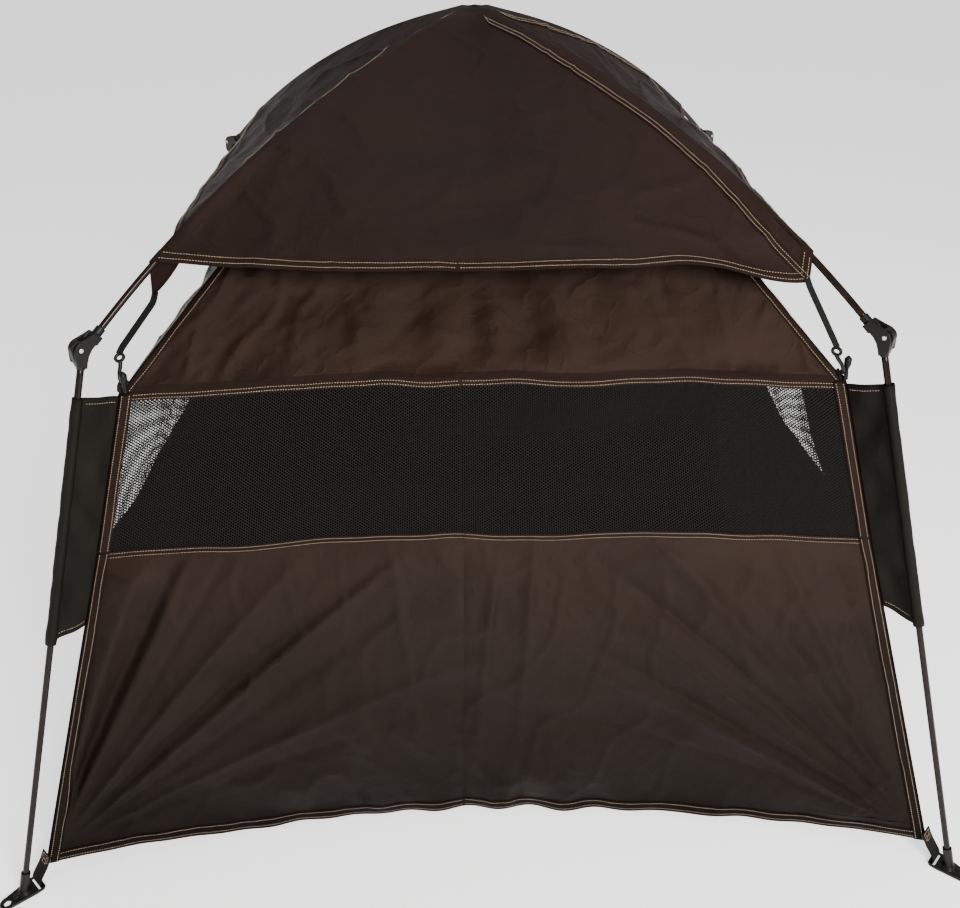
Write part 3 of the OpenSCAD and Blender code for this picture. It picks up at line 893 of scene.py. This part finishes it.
for k, c in enumerate(CORNERS):
    n_z, n_r = 60, 22
    z_top, z_low = hi("wing_" + c).z - 0.008, lo("wing_" + c).z
    zs = np.linspace(z_top, z_low, n_z)
    ripple = Waves(80 + k, 0.06, 0.2)
    grid = np.zeros((n_z, n_r, 3))
    f = np.linspace(0, 1, n_r)
    for i, (z_out, z_in) in enumerate(zip(zs, np.linspace(WINDOW_TOP_Z - 0.002, z_low, n_z))):
        level = i / (n_z - 1)
        r_in, r_out = float(wall_reach(z_in)) * S2 + 0.0015, leg_point(z_out)[0] - 0.005
        r = r_in + (r_out - r_in) * f
        out = 0.0045 * ripple(r * 1.5, z_out) * np.sin(math.pi * f)
        drop = 0.004 * ripple(r * 2, 4.0) * smooth(level, 0.8, 1.0)
        grid[i] = np.stack([r, out, z_in + (z_out - z_in) * f + drop], -1)
    p = in_plane(grid, k)
    uv = uv_of(np.linspace(0, 0.06, n_r)[None, :], zs[:, None])
    wing = mesh_object("wing_cloth_" + c, p, grid_faces(n_z, n_r), BLACK_MAT, uv)
    thicken(wing, 0.0011, 0.0)
    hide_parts("wing_" + c)
    # sleeve round the leg
    path = np.array([[*leg_point(z)] for z in np.linspace(z_top + 0.001, z_low - 0.001, 50)])
    bulge = 0.0078 + 0.0006 * ripple(path[:, 1] * 3, 1.0)
    sleeve = tube("wing_sleeve_" + c, upright(path, k), bulge, BLACK_MAT, 18, False)
    thicken(sleeve, 0.0010)
    rows = []
    for i in (1, n_z - 3):
        for s in (-1, 1):
            q = grid[i, 1:-1] + np.array([0, s * 0.0010, -0.003])
            rows.append((in_plane(q, k), in_plane(np.tile([0, s, 0], (n_r - 2, 1)), k)))
    thread = stitches("wing_thread_" + c, rows)
    for o in (wing, sleeve, thread):
        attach(o, "lower_" + c)
    declare(p)

# -------- floor
FLOOR_Z, FLOOR_V = 0.0042, 0.945  # the floor's height, and how far down the wall it is sewn on
RIM = (0.955, 1.0)  # the outermost part, where the floor rises to the wall


def floor_edge(side, w):
    """The line on the inside of a wall that the floor's edge follows."""
    return surface("wall", side, w, FLOOR_V, -0.0016)


for k, c in enumerate(CORNERS):
    n = 60
    ripple, fine = Waves(100 + k, 0.15, 0.5), Waves(110 + k, 0.03, 0.08)
    i = np.linspace(0, 1, n)
    fx, fy = (f[..., None] for f in np.meshgrid(i, i, indexing="ij"))
    front, right = floor_edge(k, i), floor_edge((k + 1) % 4, -i)
    # straight lines from the middle out to the two walls
    base = np.array([0, 0, FLOOR_Z])
    low = np.array([1, 1, 0])
    left = base + i[:, None] * (front[0] * low - base * low)
    back = base + i[:, None] * (right[0] * low - base * low)
    left[:, 2] += (front[0, 2] - base[2]) * smooth(i, *RIM) ** 2
    back[:, 2] += (right[0, 2] - base[2]) * smooth(i, *RIM) ** 2
    corner = (front[-1] + right[-1]) / 2
    ruled_x = (1 - fx) * left[None, :, :] + fx * right[None, :, :]
    ruled_y = (1 - fy) * back[:, None, :] + fy * front[:, None, :]
    both = (1 - fx) * (1 - fy) * base + fx * (1 - fy) * right[0] + (1 - fx) * fy * front[0] + fx * fy * corner
    g = ruled_x + ruled_y - both
    rim = np.maximum(smooth(fx, *RIM), smooth(fy, *RIM))[..., 0] ** 2
    lie = FLOOR_Z + 0.0016 * ripple(g[..., 0], g[..., 1]) + 0.0004 * fine(g[..., 0], g[..., 1])
    g[..., 2] = lie * (1 - rim) + g[..., 2] * rim
    flat, faces = g.reshape(-1, 3), grid_faces(n, n, flip=facing(g, 5, 5)[2] < 0)
    floor = mesh_object("floor_cloth_" + c, flat, faces, FLOOR_MAT, flat[:, :2])
    thicken(floor, 0.0008)
    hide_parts("floor_" + c)
    furl(floor, "ground_" + c)
    declare(g)

# -------- rods
for k, c in enumerate(CORNERS):
    a = np.linspace(ARM_A - math.pi / 2, ARM_A - math.pi / 2 + 2 * BOW_ANGLE, 60)
    arc = ARC_MID + BOW_R * np.stack([np.cos(a), np.sin(a)], -1)
    ends = [KNEE + q * heading(ARM_A) for q in (0.026, 0.045)]
    line = np.concatenate([ends, arc, [HUB - 0.012 * heading(END_A)]])
    arm = tube("arm_rod_" + c, upright(line, k), ROD, ROD_MAT, 28)
    stands_for(arm, "arm_" + c, "upper_" + c)
    # a flat eye round the hub's pin
    eye = new_object("arm_eye_" + c, bpy.data.meshes.new("arm_eye_" + c))
    bm = bmesh.new()
    ring = []
    for s in (-1, 1):
        for rr in (0.0027, 0.0084):
            turns = np.linspace(0, 2 * math.pi, 32, endpoint=False)
            spots = [[HUB[0] + rr * math.cos(t), s * 0.0048, HUB[1] + rr * math.sin(t)] for t in turns]
            ring.append([bm.verts.new(tuple(in_plane(q, k))) for q in spots])
    for i in range(32):
        j = (i + 1) % 32
        for x, y in ((0, 1), (1, 3), (3, 2), (2, 0)):
            bm.faces.new([ring[x][i], ring[x][j], ring[y][j], ring[y][i]])
    bmesh.ops.recalc_face_normals(bm, faces=bm.faces)
    bm.to_mesh(eye.data)
    bm.free()
    eye.data.materials.append(ROD_MAT)
    bev = eye.modifiers.new("edge", "BEVEL")
    bev.width, bev.segments = 0.0008, 2
    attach(eye, "upper_" + c)
    line = [KNEE + t * heading(LEG_A) for t in np.linspace(0.012, float(np.linalg.norm(FOOT - KNEE)), 40)]
    leg = tube("leg_rod_" + c, upright(line, k), ROD, ROD_MAT, 28)
    stands_for(leg, "leg_" + c, "lower_" + c)


# -------- moulded plastic and metal, rounded from the CAD shapes
def moulded(node, body, material, voxel, k=None, first=None):
    """The CAD node's shape with softened edges. Later corners reuse the first one's mesh, turned."""
    if first is None:
        me = frame["nodes"][node].data.copy()
        o = new_object(node + "_moulded", me)
        r = o.modifiers.new("remesh", "REMESH")
        r.mode, r.voxel_size, r.use_smooth_shade = "VOXEL", voxel, True
        s = o.modifiers.new("soften", "SMOOTH")
        s.iterations, s.factor = 4, 0.5
        bpy.context.view_layer.update()
        dg = bpy.context.evaluated_depsgraph_get()
        new = bpy.data.meshes.new_from_object(o.evaluated_get(dg))
        o.modifiers.clear()
        o.data = new
    else:
        new = first.data.copy()
        co = np.zeros(len(new.vertices) * 3)
        new.vertices.foreach_get("co", co)
        new.vertices.foreach_set("co", turn(co.reshape(-1, 3), k).ravel())
        new.update()
        o = new_object(node + "_moulded", new)
    o.data.materials.clear()
    o.data.materials.append(material)
    o.data.polygons.foreach_set("use_smooth", [True] * len(o.data.polygons))
    return stands_for(o, node, body)


VOXEL = 0.0009
for name, body, mat, slot, voxel in (
    ("elbow_socket", "upper_", PLASTIC_MAT, "plastic_black", VOXEL),
    ("elbow_knuckle", "lower_", PLASTIC_MAT, "plastic_black", VOXEL),
    ("foot", "lower_", PLASTIC_MAT, "plastic_black", VOXEL),
    ("elbow_rivet", "upper_", RIVET_MAT, "rivet_steel", VOXEL * 0.6),
):
    first = None
    for k, c in enumerate(CORNERS):
        o = moulded(f"{name}_{c}", body + c, mat, voxel, k, first)
        first = first or o
moulded("hub_body", "hub", PLASTIC_MAT, VOXEL)
moulded("hub_pins", "hub", RIVET_MAT, VOXEL * 0.6)


# -------- straps and hooks
def eased(path, n, rounds):
    """A path of points resampled evenly and rounded off."""
    path = np.asarray(path, float)
    s = along(path)
    t = np.linspace(0, s[-1], n)
    q = np.stack([np.interp(t, s, path[:, i]) for i in range(path.shape[1])], -1)
    for _ in range(rounds):
        q[1:-1] = (q[:-2] + 2 * q[1:-1] + q[2:]) / 4
    return q, t


def strap(name, path, width, k, thickness=0.0015):
    """A flat tape along a path of (out, across, up) points of the corner's plane."""
    q, t = eased(path, 40, 3)
    d = np.gradient(q, axis=0)
    d /= np.linalg.norm(d, axis=1)[:, None]
    side = np.array([0, 1.0, 0]) - d * d[:, 1:2]
    side /= np.linalg.norm(side, axis=1)[:, None]
    ys = np.linspace(-width / 2, width / 2, 7)
    grid = q[:, None, :] + ys[None, :, None] * side[:, None, :]
    p = in_plane(grid, k)
    o = mesh_object(name, p, grid_faces(40, 7), TAPE_MAT, uv_of(ys[None, :], t[:, None]))
    thicken(o, thickness, 0.0)
    return o, p


for k, c in enumerate(CORNERS):
    x, y, z = fly_tip(k)
    tip = np.array([(x - y) / S2, (x + y) / S2, z])
    catch = np.array([WINDOW_TOP * S2, 0, WINDOW_TOP_Z])
    eye_c = catch + [-0.016, -0.012, 0.047]
    path = [tip + [-0.006, 0, 0.008], tip + [0.001, 0.001, -0.006]]
    path += [eye_c + [-0.005, 0, 0.012], eye_c + [0, 0, 0.005]]
    tape, p = strap("fly_strap_" + c, path, HOOK_TAPE, k)
    stands_for(tape, "fly_hook_" + c, "upper_" + c)
    declare(p)
    # a flat plastic S-hook: an eye for the tape, and a tail caught in the body's corner loop
    ring = [eye_c + [0.0062 * x, 0, 0.0052 * y] for x, y in map(heading, np.linspace(0.5, 2.5, 33) * math.pi)]
    eye = tube("hook_eye_" + c, in_plane(ring, k), 0.0024, PLASTIC_MAT, 12, False)
    tail, _ = eased([eye_c + q for q in (
        [0, 0, -0.005], [0.003, 0.003, -0.012], [0.008, 0.006, -0.019], [0.0105, 0.009, -0.027],
        [0.0105, 0.011, -0.034], [0.0065, 0.012, -0.0385], [0.0025, 0.012, -0.036], [0.0020, 0.012, -0.031],
    )], 40, 4)
    hook = tube("hook_tail_" + c, in_plane(tail, k), np.linspace(0.0031, 0.0022, 40), PLASTIC_MAT, 12)
    # the corner loop that the hook catches, with its upright spade-like tab
    loop, _ = strap("corner_loop_" + c, [catch + q for q in (
        [-0.004, 0, 0.002], [-0.0095, 0, 0.010], [-0.0100, 0, 0.0165],
        [-0.0060, 0, 0.018], [-0.001, 0, 0.012], [0.001, 0, 0.003],
    )], LOOP_TAPE, k, 0.0012)
    spade, _ = eased([catch + [-0.004, 0.009, 0.004], catch + [-0.006, 0.009, 0.036]], 24, 0)
    stops = [0, 0.35, 0.6, 0.85, 1], [0.0032, 0.0024, 0.0052, 0.0054, 0.0014]
    shape = np.interp(np.linspace(0, 1, 24), *stops)
    tab = tube("corner_tab_" + c, in_plane(spade, k), shape, PLASTIC_MAT, 14)
    for o, b in ((eye, "upper_"), (hook, "upper_"), (loop, "lower_"), (tab, "lower_")):
        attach(o, b + c)
    # foot webbing, from under the foot up to the wall's corner
    x = FOOT[0] - 0.0215
    corner = np.array([WALL_BOTTOM * S2 + 0.0025, WALL_Z + 0.010])
    sewn = np.array([float(wall_reach(WALL_Z + 0.020)) * S2 + 0.0040, WALL_Z + 0.020])
    path = [[x - 0.004, 0.0016], [x, 0.0022], [x + 0.0006, 0.006], [x - 0.001, 0.014]]
    path += [corner + [0.0030, -0.006], sewn]
    path = [[q[0], 0, q[1]] for q in path]
    fstrap, p = strap("foot_webbing_" + c, path, FOOT_TAPE, k, 0.0016)
    stands_for(fstrap, "foot_strap_" + c, "lower_" + c)
    # a crossed box of stitches where the webbing is sewn to the corner
    away = in_plane(np.array([0.94, 0, 0.34]), k)
    box = p + 0.0011 * away
    lines = [box[29:39, 1], box[29:39, 5], box[29, 1:6], box[38, 1:6]]
    steps = np.linspace(29, 38, 9).astype(int)
    lines += [box[steps, np.linspace(a, b, 9).round().astype(int)] for a, b in ((1, 5), (5, 1))]
    cross = stitches("webbing_thread_" + c, [(q, np.tile(away, (len(q), 1))) for q in lines])
    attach(cross, "lower_" + c)
    declare(p)

# -------- crawl door in the rear panel
side, k, c = 2, 1, "rr"
z0, z1 = DOOR_Z


def w_at(x, z):
    return -x / float(wall_reach(z))


def door_row(points, off):
    """A row of (x, z) points on the rear wall, and the outward directions."""
    w, v = zip(*[(w_at(x, z), wall_v(z)) for x, z in points])
    return row_on("wall", side, np.array(w), np.array(v), off)


nx, nz = ((54, 64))
zs = np.linspace(z1 + 0.004, z0 - 0.004, nz)
xs = np.linspace(DOOR_X[1] + 0.004, DOOR_X[0] - 0.004, nx)
W = np.array([[w_at(x, z) for x in xs] for z in zs])
V = np.broadcast_to(wall_v(zs)[:, None], W.shape)
p = surface("wall", side, W, V, 0.0012)
uv = uv_of(xs[None, :], zs[:, None])
f = np.cross(p[1, 1] - p[0, 1], p[0, 0] - p[0, 1])[1]
door = mesh_object("door_cloth", p, grid_faces(nz, nx, flip=f < 0), BODY_MAT, uv)
thicken(door, CLOTH)
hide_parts("door_panel")
# zip teeth round the free edges, and stitches inside of them and along the hinge
path = [(x, z1) for x in np.linspace(DOOR_X[1], DOOR_X[0], 60)]
path += [(DOOR_X[0], z) for z in np.linspace(z1, z0, 60)][1:]
path += [(x, z0) for x in np.linspace(DOOR_X[0], DOOR_X[1], 60)][1:]
zipper = stitches("zip_teeth", [door_row(path, 0.0024)], ZIP_MAT, 0.0022, 0.0012, 0.0016)
rows = []
for inset in (0.008, 0.012):
    q = [(x, z1 - inset) for x in np.linspace(DOOR_X[1], DOOR_X[0] + inset, 50)]
    q += [(DOOR_X[0] + inset, z) for z in np.linspace(z1 - inset, z0 + inset, 50)][1:]
    q += [(x, z0 + inset) for x in np.linspace(DOOR_X[0] + inset, DOOR_X[1], 50)][1:]
    rows.append(door_row(q, 0.0020))
q = [(DOOR_X[1] - 0.004, z) for z in np.linspace(z1, z0, 60)]
rows.append(door_row(q, 0.0020))
door_thread = stitches("door_thread", rows)
for o in (door, door_thread):
    gather(o, side, k, "door")
gather(zipper, side, k)
declare(p)
moulded("zip_slider", "slider", ZIP_MAT, VOXEL * 0.5)


# -------- stage, light and camera
floor_me = bpy.data.meshes.new("stage_floor")
big, under = 30.0, -0.0005
spots = [(-big, -big, under), (big, -big, under), (big, big, under), (-big, big, under)]
floor_me.from_pydata(spots, [], [(0, 1, 2, 3)])
stage = new_object("stage_floor", floor_me)
m, t, b, *_ = nodes_of("stage_pale")
feed(t, b, Base_Color=(0.88, 0.88, 0.88, 1), Roughness=0.9, Emission_Color=(1, 1, 1, 1), Emission_Strength=1.1)
floor_me.materials.append(m)

world = bpy.data.worlds.new("studio")
bpy.context.scene.world = world
world.use_nodes = True
sky = world.node_tree
feed(sky, sky.nodes["Background"], Color=(1.0, 0.985, 0.97, 1), Strength=0.42)


def area(name, place, target, size, power, color=(1, 1, 1)):
    data = bpy.data.lights.new(name, "AREA")
    data.shape, data.size, data.energy, data.color = "DISK", size, power, color
    o = new_object(name, data)
    o.location = place
    o.rotation_euler = (Vector(target) - Vector(place)).to_track_quat("-Z", "Y").to_euler()


area("key", (1.1, -3.0, 2.1), (0, 0, 0.6), 1.3, 190, (1.0, 0.97, 0.94))
area("fill", (-2.8, -2.2, 2.0), (0, 0, 0.5), 2.4, 6, (0.94, 0.97, 1.0))
area("top", (0.2, 0.4, 3.8), (0, 0, 0.8), 2.6, 60)

cam_data = bpy.data.cameras.new("camera")
cam = new_object("camera", cam_data)
cam_data.sensor_width = 36.0
cam_data.lens = 36.93
YAW, PITCH, ROLL = -0.0235, math.radians(31.68), 0.006
forward = Vector((-math.sin(YAW) * math.cos(PITCH), math.cos(YAW) * math.cos(PITCH), -math.sin(PITCH)))
cam.location = (-0.037, -1.747, 1.430)
cam.rotation_mode = "QUATERNION"
cam.rotation_quaternion = forward.to_track_quat("-Z", "Y") @ Quaternion((0, 0, 1), -ROLL)
cam_data.clip_start = 0.05
bpy.context.scene.camera = cam
